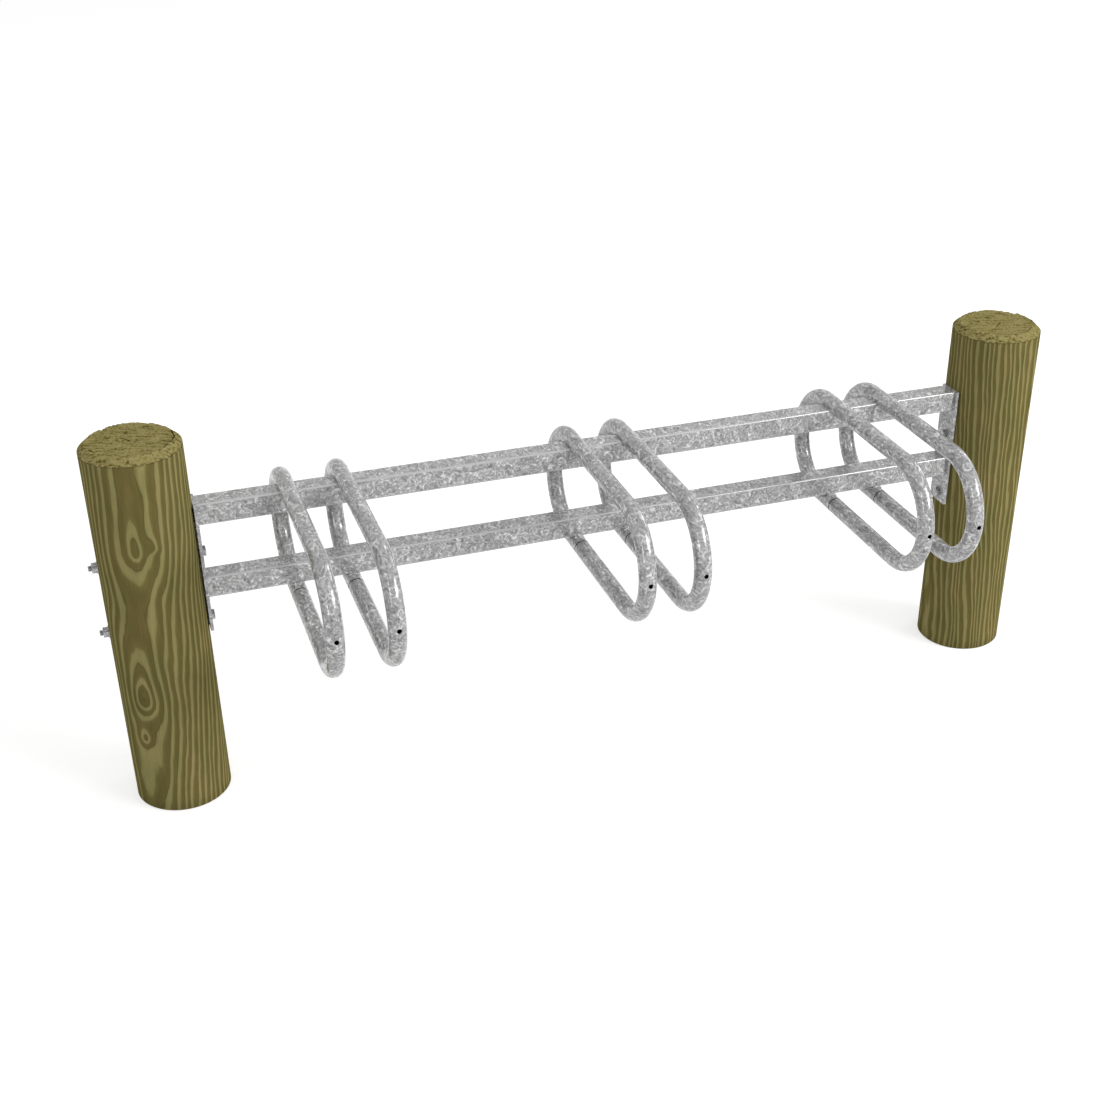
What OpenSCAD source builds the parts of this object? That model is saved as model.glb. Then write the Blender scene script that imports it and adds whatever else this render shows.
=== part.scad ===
// Bike rack: two round timber posts carry a welded steel frame of two rails, one above the other,
// and three pairs of bent tube hoops. A wheel stands between the two hoops of a pair.
// The ground is at z = 0, the rails run along X, and the hoops reach forward along -Y.

/* [Posts] */
// Diameter of each round timber post
post_d = 160; // [140:5:200]
// Height of each post above the ground
post_h = 660; // [600:10:900]
// Width of the bevel round each post's head
head_bevel = 11; // [4:1:20]
// Width of the small bevel round each post's foot
foot_bevel = 2; // [1:0.5:5]
// Clear width between the two posts
clear_width = 1400; // [1300:50:2000]

/* [Rails] */
// Outside size of the square rails
rail_size = 38; // [34:1:45]
// Wall of the rails
rail_wall = 3; // [2:0.5:4]
// Radius of the rails' outside corners
rail_corner = 3; // [1.5:0.5:5]
// Height of the upper rail's middle above the ground
upper_rail_z = 522; // [480:1:570]
// Distance between the middles of the two rails
rail_pitch = 133; // [120:1:150]

/* [End plates] */
// Width of each end plate
plate_w = 50; // [40:1:70]
// Thickness of each end plate
plate_t = 5; // [3:1:8]
// Height of each end plate, from its foot to the top of the upper rail
plate_h = 230; // [220:1:280]
// Diameter of the vent hole through each end plate at the end of each rail
vent_d = 12; // [6:1:20]

/* [Hoops] */
// Outside diameter of the hoops' tube
tube_d = 29; // [22:1:34]
// Wall of the hoops' tube
tube_wall = 2.5; // [1.5:0.5:3.5]
// Overall length of each hoop, from front to back
hoop_length = 495; // [420:5:600]
// How far each hoop reaches behind the middle of the rails
hoop_back_reach = 131.5; // [127:0.5:160]
// Depth of the saddle in the upper rail's top, in which a hoop lies
saddle_depth = 13; // [6:0.5:14]
// Distance between the middles of two neighbouring pairs of hoops
pair_pitch = 500; // [300:10:550]
// Clear gap for a wheel between the two hoops of a pair
wheel_gap = 66; // [40:1:90]
// Distance of each hoop's butt seam from the front of the lower rail
seam_reach = 18; // [5:1:60]
// Width of the groove that is left along the seam
seam_w = 1.2; // [0.6:0.2:3]
// Depth of the groove that is left along the seam
seam_depth = 0.5; // [0.2:0.1:1]
// Diameter of the drain hole in each hoop's front end
drain_d = 6; // [4:1:10]

/* [Bolts] */
// Diameter of each bolt
bolt_d = 10; // [8:1:14]
// Distance between the two bolts of a post
bolt_pitch = 120; // [110:1:130]
// Distance of the lower bolt from the end plate's foot
bolt_edge = 17; // [14:1:25]
// Width across flats of the bolt heads and nuts
hex_flats = 17; // [16:1:24]
// Height of a bolt head
bolt_head_h = 6.4; // [5:0.2:9]
// Height of a nut
nut_h = 8; // [6:0.5:12]
// How far a bolt's end stands proud of its nut
bolt_projection = 5.5; // [2:0.5:15]
// Width of the bevel on a bolt's end
bolt_bevel = 1; // [0.5:0.25:2]
// Diameter of a washer
washer_d = 21; // [20:1:30]
// Thickness of a washer
washer_t = 2; // [1:0.5:4]

/* [Fits] */
// Gap between a bolt and the wall of its hole
hole_clearance = 0.5; // [0.2:0.1:1]
// Gap between a bolt and its nut or its washer's edge
thread_clearance = 0.1; // [0.05:0.05:0.3]
// Gap between a hoop and the rail that it is welded to
weld_gap = 0.2; // [0.1:0.1:0.5]
// Gap between an end plate and the post's round face
post_gap = 0.2; // [0.1:0.1:0.5]

/* [Hidden] */
$fn = 96;

// How far every cut runs past the face that it opens
overrun = 2;
timber_colour = "#7d7645";
steel_colour = "#a8aaab";

// Sides and places along X
LEFT = -1;
MIDDLE = 0;
RIGHT = 1;

// Posts
post_r = post_d / 2;
post_x = clear_width / 2 + post_r;

// End plates and the rails between them
plate_outer_x = clear_width / 2 - post_gap;
plate_inner_x = plate_outer_x - plate_t;
lower_rail_z = upper_rail_z - rail_pitch;
upper_rail_top = upper_rail_z + rail_size / 2;
lower_rail_foot = lower_rail_z - rail_size / 2;
plate_foot = upper_rail_top - plate_h;

// Hoops: the lower straight touches the lower rail from below, the upper one lies in its saddle
tube_r = tube_d / 2;
hoop_low_z = lower_rail_foot - weld_gap - tube_r;
hoop_high_z = upper_rail_top - saddle_depth + tube_r;
hoop_mid_z = (hoop_low_z + hoop_high_z) / 2;
bend_r = (hoop_high_z - hoop_low_z) / 2;
bend_reach = bend_r + tube_r;
hoop_front_reach = hoop_length - hoop_back_reach;
straight = hoop_length - 2 * bend_reach;
hoop_spacing = wheel_gap + tube_d;

// The origin lies under the middle of the whole rack, so the rails and posts stand behind it
rail_y = (hoop_front_reach - hoop_back_reach) / 2;
back_bend_y = rail_y + hoop_back_reach - bend_reach;
front_bend_y = back_bend_y - straight;
seam_y = rail_y - rail_size / 2 - seam_reach;

// Bolts, from the head on the end plate to the end beyond the nut
bolt_hole_d = bolt_d + 2 * hole_clearance;
lower_bolt_z = plate_foot + bolt_edge;
upper_bolt_z = lower_bolt_z + bolt_pitch;
washer_seat_d = washer_d + 2 * hole_clearance;
// The post has a flat for each washer, just deep enough for the flat to be as wide as the seat
washer_seat_depth = post_r - sqrt(pow(post_r, 2) - pow(washer_seat_d / 2, 2));
washer_x = post_x + post_r - washer_seat_depth;
nut_x = washer_x + washer_t;
bolt_end_x = nut_x + nut_h + bolt_projection;
bolt_length = bolt_end_x - plate_inner_x;
hex_bevel_angle = 30;

// Place along X of one hoop of a pair
function hoop_x(pair, hand) = pair * pair_pitch + hand * hoop_spacing / 2;

// Turns what is drawn for the right end into the left end's piece
module at_end(side) {
    if (side == LEFT) mirror([1, 0, 0]) children();
    else children();
}

// Turns a shape drawn along +Z so that it runs along +X, and puts its start at x and z over the rails' line
module along_x(x, z) {
    translate([x, rail_y, z]) rotate([0, 90, 0]) children();
}

// A round post with a bevelled head and foot, two bolt holes and a flat for each washer
module post(side) {
    color(timber_colour) at_end(side) difference() {
        translate([post_x, rail_y, 0]) rotate_extrude()
            polygon([
                [0, 0], [post_r - foot_bevel, 0], [post_r, foot_bevel],
                [post_r, post_h - head_bevel], [post_r - head_bevel, post_h], [0, post_h]
            ]);
        for (z = [lower_bolt_z, upper_bolt_z]) {
            along_x(post_x - post_r - overrun, z) cylinder(d = bolt_hole_d, h = post_d + 2 * overrun);
            along_x(washer_x, z) cylinder(d = washer_seat_d, h = washer_seat_depth + overrun);
        }
    }
}

// A square with round corners
module rounded_square(size, r) {
    square([size - 2 * r, size], center = true);
    square([size, size - 2 * r], center = true);
    for (i = [-1, 1], j = [-1, 1]) translate([i * (size / 2 - r), j * (size / 2 - r)]) circle(r);
}

// The square tube of a rail, between the two end plates
module rail_tube(z) {
    inner_corner = max(rail_corner - rail_wall, rail_corner / 4);
    along_x(-plate_inner_x, z) linear_extrude(2 * plate_inner_x) difference() {
        rounded_square(rail_size, rail_corner);
        rounded_square(rail_size - 2 * rail_wall, inner_corner);
    }
}

// The upper rail, with a round-bottomed saddle across its top for each hoop
module upper_rail() {
    color(steel_colour) difference() {
        rail_tube(upper_rail_z);
        for (pair = [LEFT, MIDDLE, RIGHT], hand = [LEFT, RIGHT])
            translate([hoop_x(pair, hand), rail_y + rail_size / 2 + overrun, hoop_high_z])
                rotate([90, 0, 0]) cylinder(r = tube_r + weld_gap, h = rail_size + 2 * overrun);
    }
}

// The lower rail, which lies on the hoops' lower straights
module lower_rail() {
    color(steel_colour) rail_tube(lower_rail_z);
}

// A flat bar across the ends of both rails, with its bolt holes and the rails' vent holes
module end_plate(side) {
    color(steel_colour) at_end(side) difference() {
        translate([plate_inner_x, rail_y - plate_w / 2, plate_foot]) cube([plate_t, plate_w, plate_h]);
        for (z = [lower_bolt_z, upper_bolt_z])
            along_x(plate_inner_x - overrun, z) cylinder(d = bolt_hole_d, h = plate_t + 2 * overrun);
        for (z = [lower_rail_z, upper_rail_z])
            along_x(plate_inner_x - overrun, z) cylinder(d = vent_d, h = plate_t + 2 * overrun);
    }
}

// The tube's ring-shaped section
module tube_section() {
    difference() {
        circle(tube_r);
        circle(tube_r - tube_wall);
    }
}

// A straight length of tube between the two bends
module hoop_straight(z) {
    translate([0, back_bend_y, z]) rotate([90, 0, 0]) linear_extrude(straight) tube_section();
}

// A half-circle bend that bulges towards +Y
module hoop_bend() {
    rotate([0, -90, 0]) rotate_extrude(angle = 180) translate([bend_r, 0]) tube_section();
}

// A closed hoop: two straights and two bends, with a butt seam underneath and a drain hole in front
module hoop(pair, hand) {
    color(steel_colour) translate([hoop_x(pair, hand), 0, 0]) difference() {
        union() {
            hoop_straight(hoop_low_z);
            hoop_straight(hoop_high_z);
            translate([0, back_bend_y, hoop_mid_z]) hoop_bend();
            translate([0, front_bend_y, hoop_mid_z]) mirror([0, 1, 0]) hoop_bend();
        }
        translate([0, seam_y + seam_w / 2, hoop_low_z]) rotate([90, 0, 0]) difference() {
            cylinder(r = tube_r + overrun, h = seam_w);
            translate([0, 0, -overrun]) cylinder(r = tube_r - seam_depth, h = seam_w + 2 * overrun);
        }
        translate([0, front_bend_y - bend_r, hoop_mid_z])
            rotate([90, 0, 0]) cylinder(d = drain_d, h = tube_r + overrun);
    }
}

// A hexagonal block whose corners are bevelled at its far end
module hex_block(h) {
    corner_r = hex_flats / 2 / cos(180 / 6);
    bevel_h = (corner_r - hex_flats / 2) * tan(hex_bevel_angle);
    intersection() {
        cylinder(r = corner_r, h = h, $fn = 6);
        rotate_extrude() polygon([
            [0, 0], [corner_r, 0], [corner_r, h - bevel_h], [hex_flats / 2, h], [0, h]
        ]);
    }
}

// A hexagon bolt: its head bears on the end plate and its shank passes through plate and post
module bolt(side, z) {
    bolt_r = bolt_d / 2;
    color(steel_colour) at_end(side) {
        along_x(plate_inner_x, z) rotate_extrude() polygon([
            [0, 0], [bolt_r, 0], [bolt_r, bolt_length - bolt_bevel],
            [bolt_r - bolt_bevel, bolt_length], [0, bolt_length]
        ]);
        along_x(plate_inner_x, z) mirror([0, 0, 1]) hex_block(bolt_head_h);
    }
}

// A washer on its flat at the post's outer side
module washer(side, z) {
    color(steel_colour) at_end(side) along_x(washer_x, z) difference() {
        cylinder(d = washer_d, h = washer_t);
        translate([0, 0, -overrun]) cylinder(d = bolt_d + 2 * thread_clearance, h = washer_t + 2 * overrun);
    }
}

// A nut on its washer
module nut(side, z) {
    color(steel_colour) at_end(side) along_x(nut_x, z) difference() {
        hex_block(nut_h);
        translate([0, 0, -overrun]) cylinder(d = bolt_d + 2 * thread_clearance, h = nut_h + 2 * overrun);
    }
}

post(LEFT);  // left_post
post(RIGHT);  // right_post
upper_rail();
lower_rail();
end_plate(LEFT);  // left_end_plate
end_plate(RIGHT);  // right_end_plate
hoop(LEFT, LEFT);  // left_pair_left_hoop
hoop(LEFT, RIGHT);  // left_pair_right_hoop
hoop(MIDDLE, LEFT);  // middle_pair_left_hoop
hoop(MIDDLE, RIGHT);  // middle_pair_right_hoop
hoop(RIGHT, LEFT);  // right_pair_left_hoop
hoop(RIGHT, RIGHT);  // right_pair_right_hoop
bolt(LEFT, upper_bolt_z);  // left_upper_bolt
bolt(LEFT, lower_bolt_z);  // left_lower_bolt
bolt(RIGHT, upper_bolt_z);  // right_upper_bolt
bolt(RIGHT, lower_bolt_z);  // right_lower_bolt
washer(LEFT, upper_bolt_z);  // left_upper_washer
washer(LEFT, lower_bolt_z);  // left_lower_washer
washer(RIGHT, upper_bolt_z);  // right_upper_washer
washer(RIGHT, lower_bolt_z);  // right_lower_washer
nut(LEFT, upper_bolt_z);  // left_upper_nut
nut(LEFT, lower_bolt_z);  // left_lower_nut
nut(RIGHT, upper_bolt_z);  // right_upper_nut
nut(RIGHT, lower_bolt_z);  // right_lower_nut
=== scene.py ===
# %% [markdown]
# # A bike rack of round timber posts and galvanised steel
# Two round softwood posts carry a welded frame of two square rails, one above the other. Three pairs
# of closed tube hoops go round both rails, and a bicycle's wheel is pushed between the hoops of a pair.
# The imported CAD model is the fixed frame of this scene. Everything here is in metres and in the CAD
# model's own places: x runs along the rails, -y is the side that the hoops reach out to, z is up.
# So the first step loads that frame. A dressed model must not outgrow it.

# %% Load the frame
import math

import bmesh
import bpy
from mathutils import Matrix, Vector, noise
from mathutils.geometry import intersect_point_line


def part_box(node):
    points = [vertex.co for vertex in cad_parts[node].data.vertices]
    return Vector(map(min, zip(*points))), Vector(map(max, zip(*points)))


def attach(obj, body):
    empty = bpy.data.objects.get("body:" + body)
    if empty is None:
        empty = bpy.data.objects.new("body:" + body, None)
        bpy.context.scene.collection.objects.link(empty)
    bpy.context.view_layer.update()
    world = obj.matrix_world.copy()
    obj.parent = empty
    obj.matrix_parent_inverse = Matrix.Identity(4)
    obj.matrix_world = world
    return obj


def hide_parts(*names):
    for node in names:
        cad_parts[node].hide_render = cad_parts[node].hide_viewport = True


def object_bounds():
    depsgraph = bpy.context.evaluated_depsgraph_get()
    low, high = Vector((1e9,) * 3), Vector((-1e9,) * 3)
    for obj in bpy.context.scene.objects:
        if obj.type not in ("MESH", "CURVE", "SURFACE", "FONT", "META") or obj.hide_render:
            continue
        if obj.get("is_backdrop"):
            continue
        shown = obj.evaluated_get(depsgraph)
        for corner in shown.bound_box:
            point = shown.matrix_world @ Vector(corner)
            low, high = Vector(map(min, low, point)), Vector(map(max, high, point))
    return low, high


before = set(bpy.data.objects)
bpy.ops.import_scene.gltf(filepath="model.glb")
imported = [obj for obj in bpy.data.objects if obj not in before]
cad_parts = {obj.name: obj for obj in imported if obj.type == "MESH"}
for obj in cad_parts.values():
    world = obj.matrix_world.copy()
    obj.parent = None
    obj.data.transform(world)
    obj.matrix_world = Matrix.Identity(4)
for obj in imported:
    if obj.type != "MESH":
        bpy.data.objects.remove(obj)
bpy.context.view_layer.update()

# %% [markdown]
# ## The camera
# The photograph was taken from the front left, from 1.7 m up, looking down at the rack. Its camera could
# be placed by eye, but the rails, the hoops and the posts' edges fix it to a pixel: its place, the way it
# looks, its lens, and the point of the picture that it looks straight at. A lens in pixels becomes
# millimetres on Blender's 36 mm sensor, and a centre that is off the middle becomes a small shift.

# %% The photograph's camera
picture = 1120                                   # the photograph's width and height in pixels
camera_place = Vector((-0.86828, -2.27285, 1.67206))
camera_yaw, camera_pitch, camera_roll = 0.3555, -0.5312, 0.0038      # radians
focal_pixels, middle_pixels = 1589.73, (610.0, 619.6)

ahead = Vector((
    math.sin(camera_yaw) * math.cos(camera_pitch),
    math.cos(camera_yaw) * math.cos(camera_pitch),
    math.sin(camera_pitch),
))
right = ahead.cross(Vector((0, 0, 1))).normalized()
up = right.cross(ahead)
right, up = (
    right * math.cos(camera_roll) + up * math.sin(camera_roll),
    up * math.cos(camera_roll) - right * math.sin(camera_roll),
)
lens = bpy.data.cameras.new("photo_camera")
lens.sensor_width = 36
lens.lens = focal_pixels / picture * lens.sensor_width
lens.shift_x = (picture / 2 - middle_pixels[0]) / picture
lens.shift_y = (middle_pixels[1] - picture / 2) / picture
camera = bpy.data.objects.new("photo_camera", lens)
camera.matrix_world = Matrix.Translation(camera_place) @ Matrix((right, up, -ahead)).transposed().to_4x4()
bpy.context.scene.collection.objects.link(camera)
bpy.context.scene.camera = camera
bpy.context.scene.view_settings.view_transform = "Standard"
print(f"camera: {lens.lens:.1f} mm lens, shift {lens.shift_x:.4f}, {lens.shift_y:.4f}")

# %% [markdown]
# ## Helpers for materials
# A material is a small network of nodes. One function adds a node, sets its properties and fills its
# sockets with values or links, so that a pattern reads from top to bottom like a recipe. A colour ramp's
# stops are listed from low to high. Colours are written as sRGB hex values, as a paint chart gives them,
# and one function turns them to the linear numbers that light adds up in. Sizes are written in
# millimetres, and one division makes a scale of them.

# %% Helpers for materials
def linear(hex_colour):
    """An sRGB colour such as #7f7f7f as linear red, green, blue and alpha."""
    channels = [int(hex_colour[i:i + 2], 16) / 255 for i in (1, 3, 5)]
    return [c / 12.92 if c <= 0.04045 else ((c + 0.055) / 1.055) ** 2.4 for c in channels] + [1]


def per_metre(millimetres):
    """The texture scale at which one feature is that many millimetres long."""
    return 1000 / millimetres


def add_node(tree, kind, inputs=None, stops=None, **settings):
    """Adds a shader node with its settings, its colour stops, and values or links in its sockets."""
    node = tree.nodes.new("ShaderNode" + kind)
    for name, value in settings.items():
        setattr(node, name, value)
    for key, value in (inputs or {}).items():
        if isinstance(value, bpy.types.NodeSocket):
            tree.links.new(value, node.inputs[key])
        else:
            node.inputs[key].default_value = value
    for i, (position, hex_colour) in enumerate(stops or []):
        stop = node.color_ramp.elements[i] if i < 2 else node.color_ramp.elements.new(position)
        stop.position, stop.color = position, linear(hex_colour)
    return node


def new_material(name):
    """An empty material, its tree, and the object coordinates that its patterns are laid out in."""
    material = bpy.data.materials.new(name)
    material.use_nodes = True
    material.node_tree.nodes.clear()
    return material, material.node_tree, add_node(material.node_tree, "TexCoord").outputs["Object"]


print("mid grey #7f7f7f is", [round(c, 3) for c in linear("#7f7f7f")[:3]], "in linear light")

# %% [markdown]
# ## Treated round timber
# The posts are softwood, turned round by machine and pressure treated, which dyes the wood olive green.
# Growth rings are shells round the tree's pith, and a round post cuts through them: where the pith lies
# off the post's middle, the shells come out as lengthwise stripes, with arches where a shell only grazes
# the surface, and as closed loops round a knot. A picture of wood could be wrapped on, but it would show a
# seam and would not meet the sawn head. So the rings are worked out in space: the distance from a leaning
# pith line, lowered near each knot and wavered by noise, is counted in years, and the fraction of a year
# picks light or dark wood from a colour ramp. The dense late wood takes up less of the green treatment, so
# it is the lighter band, and it stands a little proud, which gives each band a shaded edge and a lit edge.
# The head and the foot show sawn end grain, which is rougher and paler, and the drying cracks are painted
# near black down inside, as dirt and painted shade.

# %% Treated round timber
rail_y = sum(v.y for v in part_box("upper_rail")) / 2
post_x, post_r = 0.78, 0.080
post_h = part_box("left_post")[1].z
head_bevel = 0.011


def pith_distance(tree, local, height, pith):
    """How far each place is from the pith, a line that leans from one angle round the post to another."""
    offset, (low, low_angle), (high, high_angle) = pith
    side = add_node(tree, "MapRange", {
        0: height, 1: low, 2: high, 3: math.radians(low_angle), 4: math.radians(high_angle)}).outputs[0]
    pith_x = add_node(tree, "Math", {0: side}, operation="COSINE").outputs[0]
    pith_y = add_node(tree, "Math", {0: side}, operation="SINE").outputs[0]
    toward = add_node(tree, "CombineXYZ", {0: pith_x, 1: pith_y}).outputs[0]
    shifted = add_node(tree, "VectorMath", {0: toward, 1: (-offset,) * 3, 2: local},
                       operation="MULTIPLY_ADD").outputs[0]
    across = add_node(tree, "VectorMath", {0: shifted, 1: (1, 1, 0)}, operation="MULTIPLY").outputs[0]
    return add_node(tree, "VectorMath", {0: across}, operation="LENGTH").outputs["Value"]


def knot_hill(tree, off, reach, above, below):
    """A soft hill round a knot, 1 at its middle, that falls at its own rate sideways, up and down."""
    level = add_node(tree, "SeparateXYZ", {0: off}).outputs["Z"]
    upward = add_node(tree, "Math", {0: level, 1: 1 / above}, operation="MULTIPLY").outputs[0]
    downward = add_node(tree, "Math", {0: level, 1: -1 / below}, operation="MULTIPLY").outputs[0]
    along = add_node(tree, "Math", {0: upward, 1: downward}, operation="MAXIMUM").outputs[0]
    flat = add_node(tree, "VectorMath", {0: off, 1: (1 / reach, 1 / reach, 0)},
                    operation="MULTIPLY").outputs[0]
    square = add_node(tree, "VectorMath", {0: flat, 1: flat}, operation="DOT_PRODUCT").outputs["Value"]
    square = add_node(tree, "Math", {0: along, 1: along, 2: square}, operation="MULTIPLY_ADD").outputs[0]
    fading = add_node(tree, "Math", {0: square, 1: -1.0}, operation="MULTIPLY").outputs[0]
    return add_node(tree, "Math", {0: fading}, operation="EXPONENT").outputs[0]


def ring_field(tree, local, height, pith, ring_width, phase, slips, knots):
    """The age of the wood in years at each place, and how much of a knot's dark heart is there."""
    distance = pith_distance(tree, local, height, pith)

    # slow, middling and quick wavers, four times longer along the grain than across it
    grain = add_node(tree, "Mapping", {0: local, 3: (1, 1, 0.25)}).outputs[0]
    for size, strength in ((50, 0.0036), (20, 0.0016), (7, 0.0006)):
        waver = add_node(tree, "TexNoise", {"Vector": grain, "Scale": per_metre(size), "Detail": 0.0})
        centred = add_node(tree, "Math", {0: waver.outputs[0], 1: 0.5}, operation="SUBTRACT").outputs[0]
        distance = add_node(tree, "Math", {0: centred, 1: strength, 2: distance},
                            operation="MULTIPLY_ADD").outputs[0]
    for top, bottom in slips:
        slip = add_node(tree, "MapRange", {0: height, 1: top, 2: bottom, 3: 0.0, 4: ring_width},
                        interpolation_type="SMOOTHSTEP").outputs[0]
        distance = add_node(tree, "Math", {0: distance, 1: slip}, operation="ADD").outputs[0]

    heart = 0.0
    for angle, knot_z, lift, reach, above, below, heart_r in knots:
        knot = (post_r * math.cos(math.radians(angle)), post_r * math.sin(math.radians(angle)), knot_z)
        off = add_node(tree, "VectorMath", {0: local, 1: knot}, operation="SUBTRACT").outputs[0]
        hill = knot_hill(tree, off, reach, above, below)
        distance = add_node(tree, "Math", {0: hill, 1: -lift * ring_width, 2: distance},
                            operation="MULTIPLY_ADD").outputs[0]
        if heart_r:
            size = add_node(tree, "VectorMath", {0: off}, operation="LENGTH").outputs["Value"]
            core = add_node(tree, "MapRange", {0: size, 1: heart_r * 1.3, 2: heart_r * 0.7},
                            interpolation_type="SMOOTHSTEP").outputs[0]
            heart = add_node(tree, "Math", {0: core, 1: heart}, operation="MAXIMUM").outputs[0]

    # broad and narrow years
    years = add_node(tree, "Math", {0: distance, 1: 1 / ring_width, 2: phase},
                     operation="MULTIPLY_ADD").outputs[0]
    luck = add_node(tree, "TexNoise", {"W": years, "Scale": 0.45, "Detail": 0.0}, noise_dimensions="1D")
    years = add_node(tree, "Math", {0: luck.outputs[0], 1: 0.7, 2: years},
                     operation="MULTIPLY_ADD").outputs[0]
    return years, heart


def treated_softwood(name, middle_x, pith, ring_width, phase, slips, knots):
    """Round treated softwood, in metres and degrees. pith is its offset and two ends, each a height and an
    angle. phase shifts the rings by a share of a year. Between a slip's two heights they move by one ring.
    A knot is an angle, a height, a lift in rings, its reach sideways, up and down, and a heart radius."""
    material, tree, place = new_material(name)
    local = add_node(tree, "Mapping", {0: place, 1: (-middle_x, -rail_y, 0)}).outputs[0]
    height = add_node(tree, "SeparateXYZ", {0: local}).outputs["Z"]
    years, heart = ring_field(tree, local, height, pith, ring_width, phase, slips, knots)
    year = add_node(tree, "Math", {0: years}, operation="FRACT").outputs[0]
    # the darker stop at 0.06, at the foot of each light band, is a thin line of painted shade beside the
    # band's raised edge
    wood = add_node(tree, "ValToRGB", {0: year}, stops=[
        (0.0, "#746b41"), (0.06, "#685f38"), (0.12, "#8f885a"), (0.28, "#9a9263"), (0.46, "#938c5d"),
        (0.54, "#7a7246"), (0.78, "#70673e"), (1.0, "#746b41")]).outputs[0]

    # fibres 1.4 mm wide, drawn coarser than real ones so that they show, and blotches in the treatment
    thread = add_node(tree, "Mapping", {0: local, 3: (1, 1, 0.03)}).outputs[0]
    fibre = add_node(tree, "TexNoise", {"Vector": thread, "Scale": per_metre(1.4), "Detail": 2.0}).outputs[0]
    patch = add_node(tree, "Mapping", {0: local, 3: (1, 1, 0.3)}).outputs[0]
    blotch = add_node(tree, "TexNoise", {"Vector": patch, "Scale": per_metre(28), "Detail": 3.0}).outputs[0]
    tint = add_node(tree, "ValToRGB", {0: blotch}, stops=[(0.36, "#f6f9f0"), (0.64, "#fff9f6")]).outputs[0]
    mottle = add_node(tree, "Math", {0: fibre, 1: blotch}, operation="ADD").outputs[0]
    shade = add_node(tree, "MapRange", {0: mottle, 1: 0.7, 2: 1.3, 3: 0.88, 4: 1.12}).outputs[0]
    knotty = add_node(tree, "Mix", {0: heart, 6: wood, 7: linear("#6f6440")}, data_type="RGBA").outputs[2]
    tinted = add_node(tree, "VectorMath", {0: knotty, 1: tint}, operation="MULTIPLY").outputs[0]
    sides = add_node(tree, "VectorMath", {0: tinted, "Scale": shade}, operation="SCALE").outputs[0]

    # sawn end grain: strokes along the saw's way, flecks where fibres broke, and drying cracks painted near
    # black as dirt and painted shade
    sawing = add_node(tree, "Mapping", {0: local, 2: (0, 0, math.radians(-20)), 3: (5, 1, 1)},
                      vector_type="TEXTURE").outputs[0]
    strokes = add_node(tree, "TexNoise", {
        "Vector": sawing, "Scale": per_metre(5), "Detail": 3.0, "Roughness": 0.6}).outputs[0]
    flecks = add_node(tree, "TexNoise", {
        "Vector": local, "Scale": per_metre(5), "Detail": 4.0, "Roughness": 0.65}).outputs[0]
    rough = add_node(tree, "Math", {0: strokes, 1: flecks}, operation="ADD").outputs[0]
    half = add_node(tree, "Math", {0: rough, 1: 0.5}, operation="MULTIPLY").outputs[0]
    sawn = add_node(tree, "ValToRGB", {0: half}, stops=[
        (0.36, "#554b21"), (0.44, "#817745"), (0.49, "#9c915c"), (0.57, "#a69a66"),
        (0.68, "#baae7d")]).outputs[0]
    # deep in a crack the colour goes near black: dirt, and painted shade where light can't reach
    crack_dirt_and_shade = add_node(tree, "Attribute", attribute_name="crack_dirt_and_shade").outputs["Fac"]
    head = add_node(tree, "Mix", {0: crack_dirt_and_shade, 6: sawn, 7: linear("#131006")}, data_type="RGBA").outputs[2]

    # a ragged line between side and head, and a clean one at the foot
    ragged = add_node(tree, "Math", {0: flecks, 1: 0.012, 2: height}, operation="MULTIPLY_ADD").outputs[0]
    rim_z = post_h - head_bevel
    above = add_node(tree, "MapRange", {0: ragged, 1: rim_z + 0.0040, 2: rim_z + 0.0062},
                     interpolation_type="SMOOTHSTEP").outputs[0]
    below = add_node(tree, "Math", {0: height, 1: 0.0012}, operation="LESS_THAN").outputs[0]
    end = add_node(tree, "Math", {0: above, 1: below}, operation="MAXIMUM").outputs[0]
    colour = add_node(tree, "Mix", {0: end, 6: sides, 7: head}, data_type="RGBA").outputs[2]

    # heights in mm: light bands 0.4 proud with soft sides, fibres 0.1, and the sawn ends 1 rough
    rise = add_node(tree, "MapRange", {0: year, 1: 0.04, 2: 0.13, 4: 0.4},
                    interpolation_type="SMOOTHSTEP").outputs[0]
    drop = add_node(tree, "MapRange", {0: year, 1: 0.45, 2: 0.54, 4: 0.4},
                    interpolation_type="SMOOTHSTEP").outputs[0]
    band = add_node(tree, "Math", {0: rise, 1: drop}, operation="SUBTRACT").outputs[0]
    relief = add_node(tree, "Math", {0: fibre, 1: 0.3, 2: band}, operation="MULTIPLY_ADD").outputs[0]
    coarse = add_node(tree, "Math", {0: half, 1: 5.0}, operation="MULTIPLY").outputs[0]
    surface = add_node(tree, "Mix", {0: end, 2: relief, 3: coarse}, data_type="FLOAT").outputs[0]
    bump = add_node(tree, "Bump", {"Height": surface, "Distance": 0.001, "Strength": 1.0}).outputs[0]
    dull = add_node(tree, "Mix", {0: end, 2: 0.78, 3: 0.92}, data_type="FLOAT").outputs[0]
    shader = add_node(tree, "BsdfPrincipled", {
        "Base Color": colour, "Roughness": dull, "IOR": 1.45, "Specular IOR Level": 0.0, "Normal": bump})
    add_node(tree, "OutputMaterial", {0: shader.outputs[0]})
    print(name, "has", len(tree.nodes), "nodes and", len(knots), "knots")
    return material


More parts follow.
